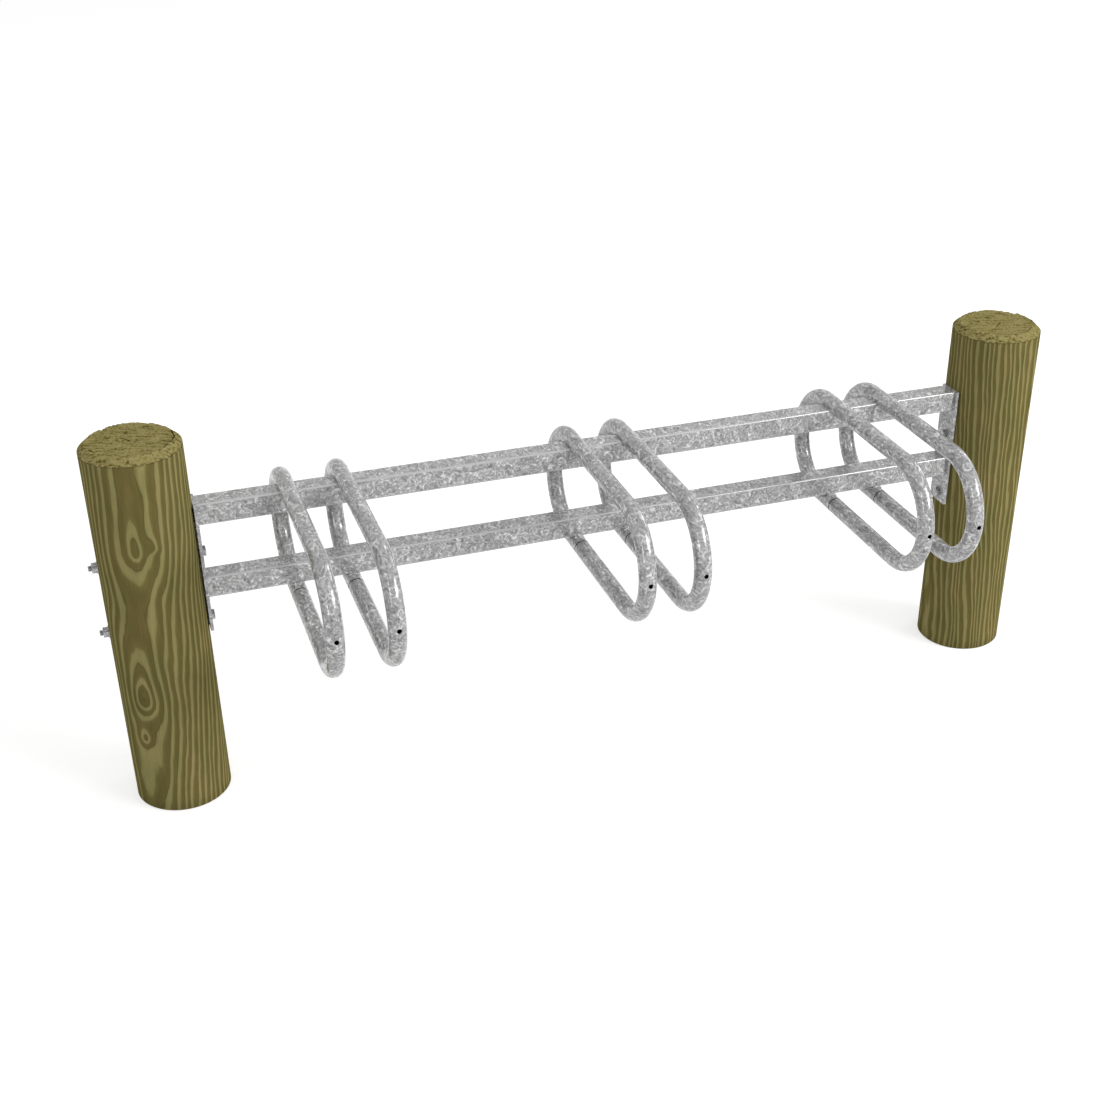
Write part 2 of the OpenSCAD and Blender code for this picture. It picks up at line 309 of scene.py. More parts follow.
# the photograph shows the first six of the left post's knots, and the others are on sides that it hides
left_knots = [
    (-105, 0.502, 0.92, 0.012, 0.042, 0.019, 0),
    (-84, 0.506, 0.6, 0.011, 0.024, 0.009, 0),
    (-124, 0.2275, 1.75, 0.027, 0.085, 0.046, 0.0055),
    (-124, 0.2275, 0.65, 0.019, 0.032, 0.024, 0),
    (-131, 0.147, 1.3, 0.013, 0.020, 0.016, 0.003),
    (-160, 0.330, 0.7, 0.018, 0.060, 0.060, 0),
    (62, 0.420, 2.6, 0.022, 0.060, 0.040, 0.006),
    (30, 0.150, 1.6, 0.016, 0.040, 0.028, 0.004),
]
right_knots = [
    (148, 0.540, 2.4, 0.022, 0.060, 0.040, 0.006),
    (-30, 0.330, 1.2, 0.016, 0.050, 0.036, 0.004),
    (110, 0.230, 1.5, 0.018, 0.050, 0.036, 0.004),
]
left_timber = treated_softwood(
    "pressure_treated_softwood_left", -post_x, (0.025, (0.0, -138.5), (0.66, -98)), 0.0034, 0.28,
    [(0.504, 0.397), (0.20, -0.03)], left_knots)
right_timber = treated_softwood(
    "pressure_treated_softwood_right", post_x, (0.022, (0.02, 180), (0.64, 150)), 0.0024, 0.10,
    [], right_knots)

# %% [markdown]
# ## Hot-dip galvanised steel
# The frame was dipped whole in molten zinc. As the zinc froze it grew flat crystals, called spangle: each
# lies at its own slant, so side by side one looks bright and the next dull. Fresh zinc is a mirror-like
# metal, but outdoors it soon grows a thin grey film of carbonate, which scatters light as paint does. So
# only a quarter of this material is metal, and lamps still leave sharp streaks on the bends. Cells with hard
# edges could draw the spangle, but the photograph shows curled feathers. A feather is a thin band along one
# level of a slow noise, and a second noise cuts it short. Bands of three sizes add up over a cloudy ground,
# and the sum sets how light and how smooth the zinc is. All is drawn twice as long along y, the way the
# tubes run. Where the rails' round corners are rubbed, the zinc is barer and more metallic, and its colour
# is lighter there, a painted highlight along the edge. One material serves every galvanised piece, because
# all were in the same bath.

# %% Hot-dip galvanised steel
def add_feathers(tree, slant, grown, size, away):
    """Adds one size of feathers to the slant: bands along two levels of a noise, cut short by a second."""
    moved = add_node(tree, "Mapping", {0: grown, 1: (away, away / 2, -away)}).outputs[0]
    hill = add_node(tree, "TexNoise", {"Vector": moved, "Scale": per_metre(size), "Detail": 0.0})
    gate = add_node(tree, "TexNoise", {"Vector": moved, "Scale": per_metre(size * 0.6), "Detail": 0.0})
    gate = add_node(tree, "MapRange", {0: gate.outputs["Color"], 1: 0.42, 2: 0.58},
                    interpolation_type="SMOOTHSTEP").outputs[0]
    for level, half_width, strength in ((0.53, 0.10, 0.11), (0.44, 0.09, -0.08)):
        off = add_node(tree, "Math", {0: hill.outputs[0], 1: level}, operation="SUBTRACT").outputs[0]
        off = add_node(tree, "Math", {0: off}, operation="ABSOLUTE").outputs[0]
        line = add_node(tree, "MapRange", {0: off, 1: 0.0, 2: half_width, 3: strength, 4: 0.0},
                        interpolation_type="SMOOTHSTEP").outputs[0]
        slant = add_node(tree, "Math", {0: line, 1: gate, 2: slant}, operation="MULTIPLY_ADD").outputs[0]
    return slant


def galvanised_steel(name):
    """Spangled, weathered zinc: curled feathers of crystal 3 to 6 mm wide on a cloudy grey ground."""
    material, tree, place = new_material(name)
    place = add_node(tree, "Mapping", {0: place, 3: (1, 0.5, 1)}).outputs[0]
    bend = add_node(tree, "TexNoise", {"Vector": place, "Scale": per_metre(18), "Detail": 1.0})
    centred = add_node(tree, "VectorMath", {0: bend.outputs["Color"], 1: (0.5, 0.5, 0.5)},
                       operation="SUBTRACT").outputs[0]
    grown = add_node(tree, "VectorMath", {0: centred, 1: (0.010,) * 3, 2: place},
                     operation="MULTIPLY_ADD").outputs[0]
    patch = add_node(tree, "TexNoise", {"Vector": place, "Scale": per_metre(16), "Detail": 1.0}).outputs[0]
    grit = add_node(tree, "TexNoise", {"Vector": grown, "Scale": per_metre(4.2), "Detail": 1.0}).outputs[0]
    slant = add_node(tree, "Math", {0: grit, 1: 0.42, 2: 0.23}, operation="MULTIPLY_ADD").outputs[0]
    slant = add_node(tree, "Math", {0: patch, 1: 0.12, 2: slant}, operation="MULTIPLY_ADD").outputs[0]
    for size, away in ((16, 0.0), (12, 0.31), (8, 0.73)):
        slant = add_feathers(tree, slant, grown, size, away)
    zinc = add_node(tree, "ValToRGB", {0: slant}, stops=[
        (0.32, "#7c7c7c"), (0.44, "#9c9c9c"), (0.53, "#b0b0b0"), (0.62, "#cdcdcd"),
        (0.74, "#f4f4f4")]).outputs[0]
    rough = add_node(tree, "MapRange", {0: slant, 1: 0.42, 2: 0.66, 3: 0.25, 4: 0.11}).outputs[0]
    # rubbed corners are barer and more metallic, and their lighter colour is a painted highlight along the
    # edge
    rubbed_and_highlit = add_node(tree, "Attribute", attribute_name="corner").outputs["Fac"]
    metal = add_node(tree, "MapRange", {0: rubbed_and_highlit, 3: 0.25, 4: 0.5}).outputs[0]
    bare_and_highlit_zinc = add_node(tree, "Mix", {0: rubbed_and_highlit, 6: zinc, 7: linear("#c0c0c0")}, data_type="RGBA").outputs[2]
    bump = add_node(tree, "Bump", {"Height": slant, "Distance": 0.0003, "Strength": 0.12}).outputs[0]
    shader = add_node(tree, "BsdfPrincipled", {
        "Base Color": bare_and_highlit_zinc, "Metallic": metal, "Roughness": rough, "Specular IOR Level": 0.2,
        "Normal": bump})
    add_node(tree, "OutputMaterial", {0: shader.outputs[0]})
    print(name, "has", len(tree.nodes), "nodes")
    return material


zinc_spangle = galvanised_steel("hot_dip_galvanised_steel")

# %% [markdown]
# ## Zinc plated fixings
# Bolts, nuts and washers are electroplated: a bath and a current lay on a thin, fine-grained coat with no
# crystals that the eye can see. It starts bright, but it is thinner than dipped zinc, so weather turns it
# grey in spots. A single grey would look like plastic, so a noise with spots of 2.6 mm takes it from bright,
# smooth metal to dull, rougher grey, and a little over half of it stays metal. The insides of the tubes get
# a dull zinc of their own, drawn near black as painted shade, which shows in the drain holes and in the
# grooves of the hoops' seams.

# %% Zinc plated fixings
def plated_steel(name):
    """Electroplated zinc, gone grey in spots."""
    material, tree, place = new_material(name)
    cloud = add_node(tree, "TexNoise", {"Vector": place, "Scale": per_metre(2.6), "Detail": 2.0}).outputs[0]
    colour = add_node(tree, "ValToRGB", {0: cloud}, stops=[(0.36, "#747577"), (0.64, "#cbccce")]).outputs[0]
    rough = add_node(tree, "MapRange", {0: cloud, 1: 0.3, 2: 0.7, 3: 0.42, 4: 0.28}).outputs[0]
    shader = add_node(tree, "BsdfPrincipled", {"Base Color": colour, "Metallic": 0.6, "Roughness": rough})
    add_node(tree, "OutputMaterial", {0: shader.outputs[0]})
    print(name, "has", len(tree.nodes), "nodes")
    return material


def shaded_inside_zinc(name):
    """The inside of a tube: the zinc drained away slowly there and froze dull and lumpy, and its near-black
    colour is painted shade.
    """
    material, tree, place = new_material(name)
    lumps = add_node(tree, "TexNoise", {"Vector": place, "Scale": per_metre(5), "Detail": 2.0}).outputs[0]
    colour = add_node(tree, "ValToRGB", {0: lumps}, stops=[(0.3, "#161616"), (0.7, "#2c2c2c")]).outputs[0]
    bump = add_node(tree, "Bump", {"Height": lumps, "Distance": 0.0006, "Strength": 0.6}).outputs[0]
    shader = add_node(tree, "BsdfPrincipled", {
        "Base Color": colour, "Metallic": 1.0, "Roughness": 0.6, "Normal": bump})
    add_node(tree, "OutputMaterial", {0: shader.outputs[0]})
    return material


bright_zinc = plated_steel("zinc_plated_steel")
dull_zinc_and_shade = shaded_inside_zinc("dull_zinc_inside_tubes")

# %% [markdown]
# ## Helpers for shapes
# Most pieces here grow out of one ring of edges: it is extruded, and the new ring is moved or resized, and
# so on until the shape is closed. A second helper turns a finished bmesh into an object: it merges doubles,
# turns the faces outwards, shades them smooth except across sharp edges, puts the piece on the frame's root
# body, hides the CAD nodes that it stands for, and gives it its material.

# %% Helpers for shapes
merge_gap = 2e-6


def edges_in(geometry):
    """The edges in a list of bmesh elements."""
    return [g for g in geometry if isinstance(g, bmesh.types.BMEdge)]


def grow(bm, ring, move):
    """Extrudes a ring of edges and puts each new vertex where move says. Returns the new ring."""
    made = bmesh.ops.extrude_edge_only(bm, edges=ring)["geom"]
    for vertex in (g for g in made if isinstance(g, bmesh.types.BMVert)):
        vertex.co = move(vertex.co)
    return edges_in(made)


def first_ring(bm, segments, radius, matrix):
    """A circle of edges to start a tube, a bead or a nut from."""
    made = bmesh.ops.create_circle(bm, segments=segments, radius=radius, matrix=matrix)["verts"]
    return list({edge for vertex in made for edge in vertex.link_edges})


def keep(bm, name, material, stands_for=(), sharp=35):
    """Makes a closed, outward-facing, smooth-shaded piece of a bmesh, and sets it in the frame."""
    bmesh.ops.remove_doubles(bm, verts=bm.verts, dist=merge_gap)
    bmesh.ops.recalc_face_normals(bm, faces=bm.faces)
    for face in bm.faces:
        face.smooth = True
    for edge in bm.edges:
        edge.smooth = len(edge.link_faces) != 2 or edge.calc_face_angle() < math.radians(sharp)
    mesh = bpy.data.meshes.new(name)
    bm.to_mesh(mesh)
    open_edges = sum(len(edge.link_faces) != 2 for edge in bm.edges)
    bm.free()
    mesh.materials.append(material)
    piece = bpy.data.objects.new(name, mesh)
    bpy.context.scene.collection.objects.link(piece)
    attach(piece, "root")
    if stands_for:
        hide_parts(*stands_for)
    print(f"{name}: {len(mesh.polygons)} faces, {open_edges} open edges")
    return piece


# %% [markdown]
# ## The posts
# A post is turned from a log, so it can be turned here too: a half outline, drawn from the middle of the
# foot round to the middle of the head, is spun about the post's axis. Then the head is roughened as a chain
# saw and the weather leave it. Noise sinks it in strokes and flecks, the bevelled rim loses chips where
# fibres broke out, and a few shakes, which are drying cracks, are cut along lines that follow the
# photograph. All of this only takes wood away, so the post stays inside its CAD solid.

# %% The posts
head_r, foot_bevel = post_r - head_bevel, 0.002
outline = [      # radius, height, and cuts up to the next point
    (0, 0, 5),
    (post_r - foot_bevel, 0, 1),
    (post_r, foot_bevel, 32),
    (post_r, post_h - head_bevel, 9),
    (head_r, post_h, 68),
    (0, post_h, 0),
]


def smooth_step(low, high, value):
    """0 below low, 1 above high, and a soft step between."""
    t = min(max((value - low) / (high - low), 0), 1)
    return t * t * (3 - 2 * t)


def crack_depth(x, y, cracks):
    """How deep a crack is at a place on the head. Each crack is a width, a depth and points, all in mm."""
    deepest = 0.0
    place = Vector((x, y, 0))
    wander = 0.55 + 0.9 * abs(noise.noise(place * 160))
    for width, depth, *points in cracks:
        half_width = width / 2000 * wander
        for start, end in zip(points, points[1:]):
            a, b = Vector((*start, 0)) / 1000, Vector((*end, 0)) / 1000
            _, t = intersect_point_line(place, a, b)
            gap = (place - a.lerp(b, min(max(t, 0), 1))).length
            if gap < half_width:
                deepest = max(deepest, depth / 1000 * (1 - (gap / half_width) ** 2))
    return deepest


def weather(co, centre, cracks, seed):
    """Where a point of the head goes when saw, splits and weather have been at it, and how deep in a crack
    it lies, which the material paints near black as dirt and painted shade.
    """
    x, y = co.x - centre.x, co.y - centre.y
    radius = math.hypot(x, y)
    rim_z = post_h - head_bevel
    amount = smooth_step(rim_z - 0.001, rim_z + 0.004, co.z)
    if radius < 1e-6 or amount == 0:
        return co, 0
    along, over = x * 0.94 - y * 0.34, x * 0.34 + y * 0.94     # the saw ran along the first of these
    stroke = noise.noise(Vector((along * 70, over * 380, seed)))
    fleck = noise.noise(Vector((x * 310, y * 310, seed + 7)))
    chip = max(0, noise.noise(Vector((x * 110, y * 110, co.z * 90 + seed)))) ** 1.5
    rim = smooth_step(head_r - 0.012, head_r + 0.002, radius)
    crack = crack_depth(x, y, cracks)
    sink = 0.0010 + 0.0007 * stroke + 0.0005 * fleck + rim * (0.0050 * chip + 0.0010 * fleck) + crack
    inward = rim * amount * (0.0004 + 0.0040 * chip)
    pull = max(0, 1 - inward / radius)
    moved = Vector((centre.x + x * pull, centre.y + y * pull, co.z - amount * max(sink, 0)))
    return moved, min(1, crack / 0.0014)


def post(name, middle_x, timber, cracks, seed):
    """A round post: a half outline spun about its axis, then weathered at the head."""
    bm = bmesh.new()
    centre = Vector((middle_x, rail_y, 0))
    last = bmesh.ops.create_vert(bm, co=centre)["vert"][0]
    edges = []
    for radius, height, _ in outline[1:]:
        made = bmesh.ops.extrude_vert_indiv(bm, verts=[last])
        last = made["verts"][0]
        last.co = centre + Vector((radius, 0, height))
        edges += made["edges"]
    for edge, (_, _, cuts) in zip(edges, outline):
        bmesh.ops.subdivide_edges(bm, edges=[edge], cuts=cuts)
    bmesh.ops.spin(bm, geom=bm.verts[:] + bm.edges[:], cent=centre, axis=(0, 0, 1), dvec=(0, 0, 0),
                   angle=2 * math.pi, steps=288, use_merge=True, use_duplicate=False)
    bmesh.ops.remove_doubles(bm, verts=bm.verts, dist=merge_gap)
    crack_dirt_and_shade = bm.verts.layers.float.new("crack_dirt_and_shade")
    for vertex in bm.verts:
        vertex.co, vertex[crack_dirt_and_shade] = weather(vertex.co, centre, cracks, seed)
    keep(bm, name + "_timber", timber, [name], sharp=50)


left_cracks = [
    (2.6, 5.0, (-13.1, 13.7), (-4.3, 3.0), (1.4, -4.7), (9.8, -11.2)),
    (2.0, 4.0, (66.5, 15.4), (68.5, -6.7), (64.4, -19.4), (55.7, -31.0), (47.6, -46.0)),
    (1.8, 3.0, (11.3, -62.0), (19.4, -63.0), (33.1, -57.3), (44.5, -50.1)),
    (2.2, 3.2, (-60.9, -18.2), (-55.4, -31.3), (-48.8, -26.9)),
]
right_cracks = [
    (2.2, 4.5, (-16.1, -20.6), (-3.4, -9.0), (7.9, 1.4)),
    (1.8, 3.2, (-34.8, 41.6), (-25.8, 38.4), (-19.5, 33.2)),
    (1.7, 3.0, (-27.7, -51.8), (-17.8, -61.9), (-4.9, -63.8), (6.4, -62.8), (28.0, -56.5), (47.2, -40.3)),
    (1.8, 2.5, (-17.0, 19.5), (-5.8, 15.5), (12.2, 7.2)),
]
post("left_post", -post_x, left_timber, left_cracks, 3)
post("right_post", post_x, right_timber, right_cracks, 11)

# %% [markdown]
# ## The hoops
# Each hoop is one length of round tube, bent into a flat loop with two straights and two half-turns, and
# butt welded where its ends meet under the lower rail. It could be a curve with a round bevel, but then the
# small groove at the weld and the drain hole in the front bend would need a second method. So one ring of
# edges starts in the groove and travels round: extruded along a straight, spun through a bend, along the
# other straight, spun again, and back into the groove. The drain hole lets zinc and rain out: a patch of
# faces is inset, its rim is made round, and the middle is taken away. A Solidify modifier gives the tube
# its wall.

# %% The hoops
tube_r, tube_wall = 0.0145, 0.0025
groove_y, groove_half, groove_depth = 0.079, 0.0013, 0.0021
drain_r = 0.0039


def spin_bend(bm, ring, bend_y, middle_z, middle_x):
    """Carries a ring of edges through half a turn, from the low straight to the high one or back."""
    made = bmesh.ops.spin(bm, geom=ring, cent=(middle_x, bend_y, middle_z), axis=(1, 0, 0), dvec=(0, 0, 0),
                          angle=-math.pi, steps=160, use_merge=False, use_duplicate=False)["geom_last"]
    return edges_in(made)


def run_tube(bm, ring, middle, *steps):
    """Grows the tube along y. Each step is a factor for its section about the middle line, and a new y."""
    for factor, y in steps:
        ring = grow(bm, ring, lambda co: Vector((
            middle.x + (co.x - middle.x) * factor, y, middle.z + (co.z - middle.z) * factor)))
    return ring


def drill(bm, middle_x, front_y, middle_z, bend_r):
    """Opens a round drain hole in the outermost point of the front bend."""
    tip = min(bm.verts, key=lambda v: (v.co - Vector((middle_x, front_y, middle_z))).length)
    patch = set(tip.link_faces)
    for _ in range(2):
        patch |= {face for near in list(patch) for vertex in near.verts for face in vertex.link_faces}
    bmesh.ops.inset_region(bm, faces=list(patch), thickness=0.0003, use_boundary=True)
    rim = {v for face in patch for v in face.verts if any(f not in patch for f in v.link_faces)}
    in_order = sorted(rim, key=lambda v: math.atan2(v.co.z - middle_z, v.co.x - middle_x))
    for i, vertex in enumerate(in_order):
        turn = (i + 0.5) / len(rim) * math.tau - math.pi
        x, z = drain_r * math.cos(turn), drain_r * math.sin(turn)
        reach = bend_r + math.sqrt(tube_r ** 2 - x ** 2)
        y = front_y + bend_r + tube_r - math.sqrt(reach ** 2 - z ** 2)
        vertex.co = (middle_x + x, y, middle_z + z)
    bmesh.ops.delete(bm, geom=list(patch), context="FACES")


def hoop(node):
    """One bent, welded and drilled tube hoop, in its CAD node's place."""
    low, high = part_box(node)
    middle_x, middle_z = (low.x + high.x) / 2, (low.z + high.z) / 2
    bend_r = (high.z - low.z) / 2 - tube_r
    front_bend, back_bend = low.y + bend_r + tube_r, high.y - bend_r - tube_r
    foot = Vector((middle_x, 0, middle_z - bend_r))
    top = Vector((middle_x, 0, middle_z + bend_r))
    shrunk = (tube_r - groove_depth) / tube_r
    bm = bmesh.new()
    start = Matrix.Translation((middle_x, groove_y, foot.z)) @ Matrix.Rotation(math.pi / 2, 4, "X")
    ring = first_ring(bm, 48, tube_r * shrunk, start)
    ring = run_tube(bm, ring, foot, (1 / shrunk, groove_y - groove_half), (1, groove_y - 2 * groove_half),
                    (1, front_bend))
    ring = spin_bend(bm, ring, front_bend, middle_z, middle_x)
    ring = run_tube(bm, ring, top, (1, back_bend))
    ring = spin_bend(bm, ring, back_bend, middle_z, middle_x)
    run_tube(bm, ring, foot, (1, groove_y + 2 * groove_half), (1, groove_y + groove_half),
             (shrunk, groove_y))
    bmesh.ops.remove_doubles(bm, verts=bm.verts, dist=merge_gap)
    drill(bm, middle_x, low.y, middle_z, bend_r)
    piece = keep(bm, node + "_tube", zinc_spangle, [node], sharp=40)
    wall = piece.modifiers.new("tube_wall", "SOLIDIFY")
    wall.thickness, wall.offset, wall.use_quality_normals = tube_wall, -1, True
    wall.material_offset = wall.material_offset_rim = 1
    piece.data.materials.append(dull_zinc_and_shade)
    for face in piece.data.polygons:      # the groove gets the near-black inside material, painted shade in the crevice
        if abs(face.center.y - groove_y) < groove_half and face.center.z < middle_z:
            face.material_index = 1
    return piece


hoops = [hoop(f"{pair}_pair_{hand}_hoop")
         for pair in ("left", "middle", "right") for hand in ("left", "right")]
print(len(hoops), "hoops, size of one:", [round(v, 4) for v in hoops[0].dimensions])

# %% [markdown]
# ## The rails and the end plates
# The rails are stock square tube and the plates are stock flat bar, and their CAD solids already have the
# right shape, with the saddles that the hoops sit in. Their meshes are loose triangles, which a render
# shades flat, and then the rails' round corners look like cut facets. So each rail is copied, the copy's
# triangles are merged, and a Weighted Normal modifier keeps the broad faces flat while the corners turn
# softly. Hands and tyres rub the corners first, so a number on each corner vertex tells the zinc to be
# barer there, and lighter in colour, which is a painted highlight along the edge. The plates have crisp
# edges and stay as they are, with the zinc put on them.

# %% The rails and the end plates
corner_r, corner_slack = 0.003, 0.0003


def smooth_rail(node):
    """A merged copy of a rail's CAD mesh, with even flat faces and soft round corners."""
    bm = bmesh.new()
    bm.from_mesh(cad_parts[node].data)
    low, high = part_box(node)
    corner = bm.verts.layers.float.new("corner")
    for vertex in bm.verts:
        inset = [min(high[axis] - vertex.co[axis], vertex.co[axis] - low[axis]) for axis in (1, 2)]
        vertex[corner] = float(max(inset) < corner_r - corner_slack)
    piece = keep(bm, node + "_tube", zinc_spangle, [node], sharp=40)
    even = piece.modifiers.new("even_faces", "WEIGHTED_NORMAL")
    even.keep_sharp = True


for node in ("upper_rail", "lower_rail"):
    smooth_rail(node)
for node in ("left_end_plate", "right_end_plate"):
    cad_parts[node].data.materials.clear()
    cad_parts[node].data.materials.append(zinc_spangle)

# %% [markdown]
# ## The welds
# A welder joins each hoop to the lower rail with a short fillet in front and one behind. A bead is a row of
# small overlapping puddles. A ring of edges the size of the bead is spun about the hoop's tube, so the bead
# hugs the tube, and its rings then swell and shrink by turns, and taper to nothing at the ends. At the
# upper rail each hoop sits down in its saddle, and the joint there stays a plain crease.

# %% The welds
bead_r, bead_lift, bead_reach, bead_steps = 0.0019, 0.0006, math.radians(46), 32


def weld_bead(bm, centre, seed):
    """A bead over the top of a tube that runs along y. Angles are measured from straight up, towards +x."""
    radius, span = tube_r + bead_lift, 2 * bead_reach
    start = (Matrix.Translation(centre) @ Matrix.Rotation(-bead_reach, 4, "Y")
             @ Matrix.Translation((0, 0, radius)))
    ring = first_ring(bm, 12, bead_r, start @ Matrix.Rotation(math.pi / 2, 4, "Y"))
    before = {v for edge in ring for v in edge.verts}
    known = set(bm.verts) - before
    bmesh.ops.spin(bm, geom=ring, cent=centre, axis=(0, 1, 0), dvec=(0, 0, 0), angle=span,
                   steps=bead_steps, use_merge=False, use_duplicate=False)
    for vertex in (v for v in bm.verts if v not in known):
        off = vertex.co - centre
        angle = math.atan2(off.x, off.z)
        t = min(max((angle + bead_reach) / span, 0), 1)
        middle = centre + Vector((math.sin(angle), 0, math.cos(angle))) * radius
        puddle = 0.5 + 0.5 * math.cos(t * math.tau * bead_steps / 4)
        taper = min(1, 4.5 * min(t, 1 - t)) ** 0.5
        uneven = 0.12 * noise.noise(Vector((t * 9, seed, 0)))
        vertex.co = middle + (vertex.co - middle) * max(0.02, taper * (0.86 + 0.14 * puddle + uneven))


bm = bmesh.new()
lower_low, lower_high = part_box("lower_rail")
for number, piece in enumerate(hoops):
    low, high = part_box(piece.name.removesuffix("_tube"))
    for edge_y in (lower_low.y, lower_high.y):
        weld_bead(bm, Vector(((low.x + high.x) / 2, edge_y, low.z + tube_r)), number + edge_y)
keep(bm, "lower_welds", zinc_spangle, sharp=60)
print(2 * len(hoops), "beads on the lower rail")

# %% [markdown]
# ## Bolts, nuts and washers
# Each end plate is held by two long hexagon bolts through the post, with a washer and a nut outside. A
# hexagon with bevelled corners is a ring of many points: the ring lies on the hexagon, and the bevel's edge
# rises and falls in arcs because a cone cuts flat sides there. The screw thread is a small tooth outline
# spun about the bolt with a push of one pitch per turn, then cut square at both ends. All are made for the
# right end, and turned half round the middle of the rack for the left.

# %% Bolts, nuts and washers
bolt_r, hex_flats, thread_pitch = 0.005, 0.017, 0.0015
hex_face_r = hex_flats / 2 * 0.95                # the round flat that the bevelling cone leaves
bolt_heights = [sum(v.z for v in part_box(f"right_{level}_bolt")) / 2 for level in ("upper", "lower")]
bolt_low, bolt_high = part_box("right_upper_bolt")
washer_low, washer_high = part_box("right_upper_washer")
nut_low, nut_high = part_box("right_upper_nut")
head_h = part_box("right_end_plate")[0].x - bolt_low.x
print(f"bolt from x {bolt_low.x:.4f} to {bolt_high.x:.4f}, head {head_h * 1000:.1f} mm high")


def hexagon(angle):
    """The distance from the middle to the hexagon's side, with flats facing front and back."""
    return hex_flats / 2 / math.cos((angle + math.pi / 6) % (math.pi / 3) - math.pi / 6)


def cone(direction):
    """How far the bevelling cone cuts back the hexagon's edge at each angle."""
    return lambda angle: direction * (hexagon(angle) - hex_face_r) * math.tan(math.radians(30))


def at(x, radius_of, rise=None):
    """A move for grow(): to x, at a radius or at the one that radius_of gives for the vertex's angle."""
    def move(co):
        angle = math.atan2(co.z, co.y)
        r = radius_of(angle) if callable(radius_of) else radius_of
        return Vector((x + (rise(angle) if rise else 0), r * math.cos(angle), r * math.sin(angle)))
    return move


def turned(bm, *steps, closed=False):
    """A shape round the x axis that a ring of 72 edges makes in steps, each with the values of at()."""
    ring = first_ring(bm, 72, 1, Matrix.Rotation(math.pi / 2, 4, "Y"))
    for vertex in {v for edge in ring for v in edge.verts}:
        vertex.co = at(*steps[0])(vertex.co)
    if closed:
        bmesh.ops.edgeloop_fill(bm, edges=ring)
    for step in steps[1:]:
        ring = grow(bm, ring, at(*step))
    if closed:
        bmesh.ops.edgeloop_fill(bm, edges=ring)


def bolt_shape(bm):
    """Head and plain shank, ending inside the thread."""
    neck_x, thread_x = bolt_low.x + head_h, nut_high.x - 0.002
    turned(bm, (bolt_low.x, hex_face_r), (bolt_low.x, hexagon, cone(1)), (neck_x, hexagon),
           (neck_x, bolt_r), (thread_x, bolt_r), (thread_x, bolt_r - 0.0012), closed=True)


def thread_shape(bm):
    """The threaded end: a tooth outline spun with a push of one pitch per turn, and cut square."""
    root, turns, steps = bolt_r - 0.0009, 8, 36
    start = nut_high.x - 0.0035 - thread_pitch
    last = bmesh.ops.create_vert(bm, co=(start, root, 0))["vert"][0]
    for share, radius in ((0.08, root), (0.45, bolt_r), (0.60, bolt_r), (1.0, root)):
        made = bmesh.ops.extrude_vert_indiv(bm, verts=[last])
        last = made["verts"][0]
        last.co = (start + share * thread_pitch, radius, 0)
    bmesh.ops.spin(bm, geom=bm.verts[:] + bm.edges[:], cent=(0, 0, 0), axis=(1, 0, 0),
                   dvec=(thread_pitch / steps, 0, 0), angle=math.tau * turns, steps=steps * turns,
                   use_merge=False, use_duplicate=False)
    bmesh.ops.remove_doubles(bm, verts=bm.verts, dist=merge_gap)
    for x, outwards in ((nut_high.x - 0.0018, -1), (bolt_high.x, 1)):
        cut = bmesh.ops.bisect_plane(bm, geom=bm.verts[:] + bm.edges[:] + bm.faces[:], plane_co=(x, 0, 0),
                                     plane_no=(outwards, 0, 0), clear_outer=True)["geom_cut"]
        bmesh.ops.edgeloop_fill(bm, edges=edges_in(cut))
    for vertex in bm.verts:
        limit = bolt_r - 0.0011 + (bolt_high.x - vertex.co.x) * 1.1      # the bevelled end
        radius = math.hypot(vertex.co.y, vertex.co.z)
        if radius > limit:
            vertex.co.y, vertex.co.z = vertex.co.y * limit / radius, vertex.co.z * limit / radius


def nut_shape(bm):
    """A hexagon nut, bevelled on both faces, with a bore that is countersunk on the outer one."""
    bore, sink = bolt_r + 0.0002, 0.0007
    turned(bm, (nut_low.x, bore), (nut_low.x, hex_face_r), (nut_low.x, hexagon, cone(1)),
           (nut_high.x, hexagon, cone(-1)), (nut_high.x, hex_face_r), (nut_high.x, bore + sink),
           (nut_high.x - sink, bore), (nut_low.x, bore))


def washer_shape(bm):
    """A flat round washer with a rolled outer edge."""
    outer, bore, soft = (washer_high.z - washer_low.z) / 2, bolt_r + 0.0003, 0.0003
    turned(bm, (washer_low.x, bore), (washer_low.x, outer - soft), (washer_low.x + soft, outer),
           (washer_high.x - soft, outer), (washer_high.x, outer - soft), (washer_high.x, bore),
           (washer_low.x, bore))


def fixing(shapes):
    """The shapes of one fixing, each worked out in a bmesh of its own, in one bmesh."""
    bm = bmesh.new()
    for shape in shapes:
        part, mesh = bmesh.new(), bpy.data.meshes.new("part")
        shape(part)
        part.to_mesh(mesh)
        part.free()
        bm.from_mesh(mesh)
        bpy.data.meshes.remove(mesh)
    return bm


fixings = {"bolt": (bolt_shape, thread_shape), "nut": (nut_shape,), "washer": (washer_shape,)}
for side, turn in (("right", 0), ("left", math.pi)):
    for level, height in zip(("upper", "lower"), bolt_heights):
        place = Matrix.Translation((0, rail_y, height)) @ Matrix.Rotation(turn, 4, "Z")
        for kind, shapes in fixings.items():
            bm = fixing(shapes)
            bmesh.ops.transform(bm, matrix=place, verts=bm.verts)
            node = f"{side}_{level}_{kind}"
            keep(bm, node + "_detail", bright_zinc, [node], sharp=25)

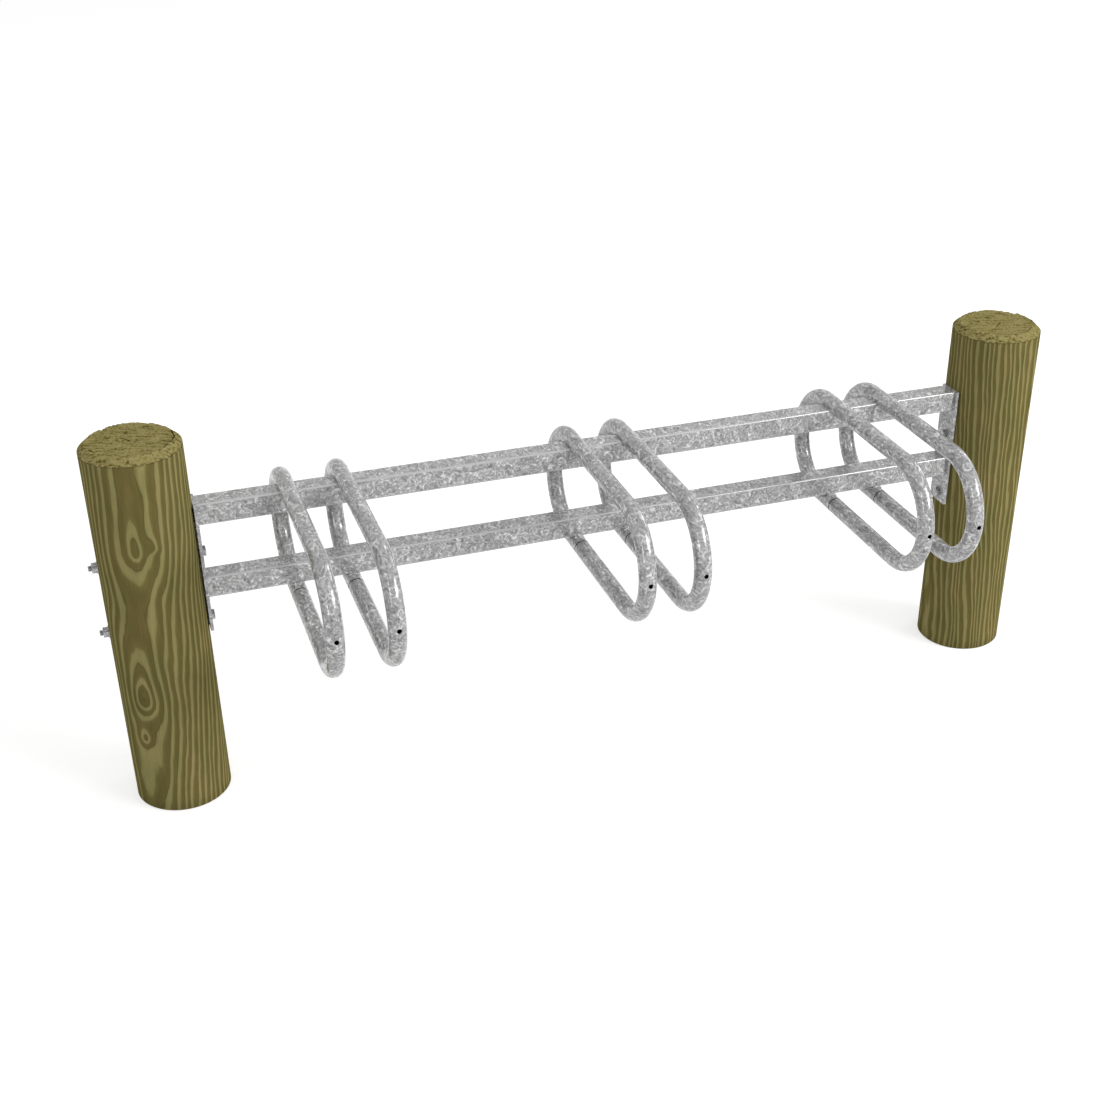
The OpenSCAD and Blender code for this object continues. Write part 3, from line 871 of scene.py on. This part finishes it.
# %% [markdown]
# ## Floor, sky and lamps
# The photograph has a plain white ground and soft light. The floor is pale and keeps the rack's shadow. A
# little light of its own, which only the camera and reflections see, brings it up to white, so no more
# light has to be poured on the rack. The world does the same. Three soft lamps stand where the photograph's
# highlights on the bends say they are: a wide main one at the right in front, a tall narrow one at the left
# near the camera, and a weak one at the right behind.

# %% Floor, sky and lamps
floor_r, floor_glow, sky_level = 14, 0.55, 0.52
lamp_distance, lamp_aim = 8.0, Vector((0, 0, 0.4))


def seen_directly(tree):
    """1 where the camera looks, straight or in a reflection, and 0 for light that falls on the rack."""
    rays = add_node(tree, "LightPath").outputs
    seen = add_node(tree, "Math", {0: rays["Is Camera Ray"], 1: rays["Is Glossy Ray"]},
                    operation="MAXIMUM").outputs[0]
    return add_node(tree, "Math", {0: seen, 1: rays["Is Transmission Ray"]}, operation="MAXIMUM").outputs[0]


def stage_floor():
    """A large pale floor that shows the object's shadow."""
    bm = bmesh.new()
    bmesh.ops.create_circle(bm, cap_ends=True, segments=64, radius=floor_r)
    mesh = bpy.data.meshes.new("floor")
    bm.to_mesh(mesh)
    bm.free()
    floor = bpy.data.objects.new("floor", mesh)
    bpy.context.scene.collection.objects.link(floor)
    material, tree, _ = new_material("pale_studio_floor")
    glow = add_node(tree, "Math", {0: seen_directly(tree), 1: floor_glow}, operation="MULTIPLY").outputs[0]
    paint = add_node(tree, "BsdfDiffuse", {0: linear("#e2e2e2")}).outputs[0]
    light = add_node(tree, "Emission", {0: linear("#ffffff"), 1: glow}).outputs[0]
    both = add_node(tree, "AddShader", {0: paint, 1: light}).outputs[0]
    add_node(tree, "OutputMaterial", {0: both})
    mesh.materials.append(material)
    floor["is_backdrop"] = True


def studio_world():
    """Even light on the object, and white behind it for the camera and for reflections."""
    world = bpy.data.worlds.new("studio")
    bpy.context.scene.world = world
    world.use_nodes = True
    tree = world.node_tree
    tree.nodes.clear()
    seen = seen_directly(tree)
    lit = add_node(tree, "Background", {0: linear("#ffffff"), 1: sky_level}).outputs[0]
    shown = add_node(tree, "Background", {0: linear("#ffffff"), 1: 1.0}).outputs[0]
    both = add_node(tree, "MixShader", {0: seen, 1: lit, 2: shown}).outputs[0]
    add_node(tree, "OutputWorld", {0: both})


def lamp(name, azimuth, elevation, half_width, half_height, radiance):
    """An oval soft lamp that faces the rack. Azimuth 0 is behind the rack, 90 is to its right."""
    a, e = math.radians(azimuth), math.radians(elevation)
    direction = Vector((math.sin(a) * math.cos(e), math.cos(a) * math.cos(e), math.sin(e)))
    light = bpy.data.lights.new(name, "AREA")
    light.shape, light.size, light.size_y = "ELLIPSE", 2 * half_width, 2 * half_height
    # in watts, an evenly bright surface sends out its radiance times pi times its area
    light.energy = radiance * math.pi * math.pi * half_width * half_height
    body = bpy.data.objects.new(name, light)
    body.location = lamp_aim + direction * lamp_distance
    body.rotation_euler = direction.to_track_quat("Z", "Y").to_euler()
    body.visible_camera = False
    bpy.context.scene.collection.objects.link(body)
    print(f"{name}: {light.energy:.0f} W at {[round(v, 2) for v in body.location]}")


stage_floor()
studio_world()
lamp("main_lamp", 131, 31, 2.60, 1.70, 7.3)
lamp("left_lamp", -131, 22, 0.80, 2.30, 3.6)
lamp("back_lamp", 67, 24, 1.45, 1.45, 2.4)

# %% Measure and finish
low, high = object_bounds()
print("visual box:", [round(v, 4) for v in low], [round(v, 4) for v in high])
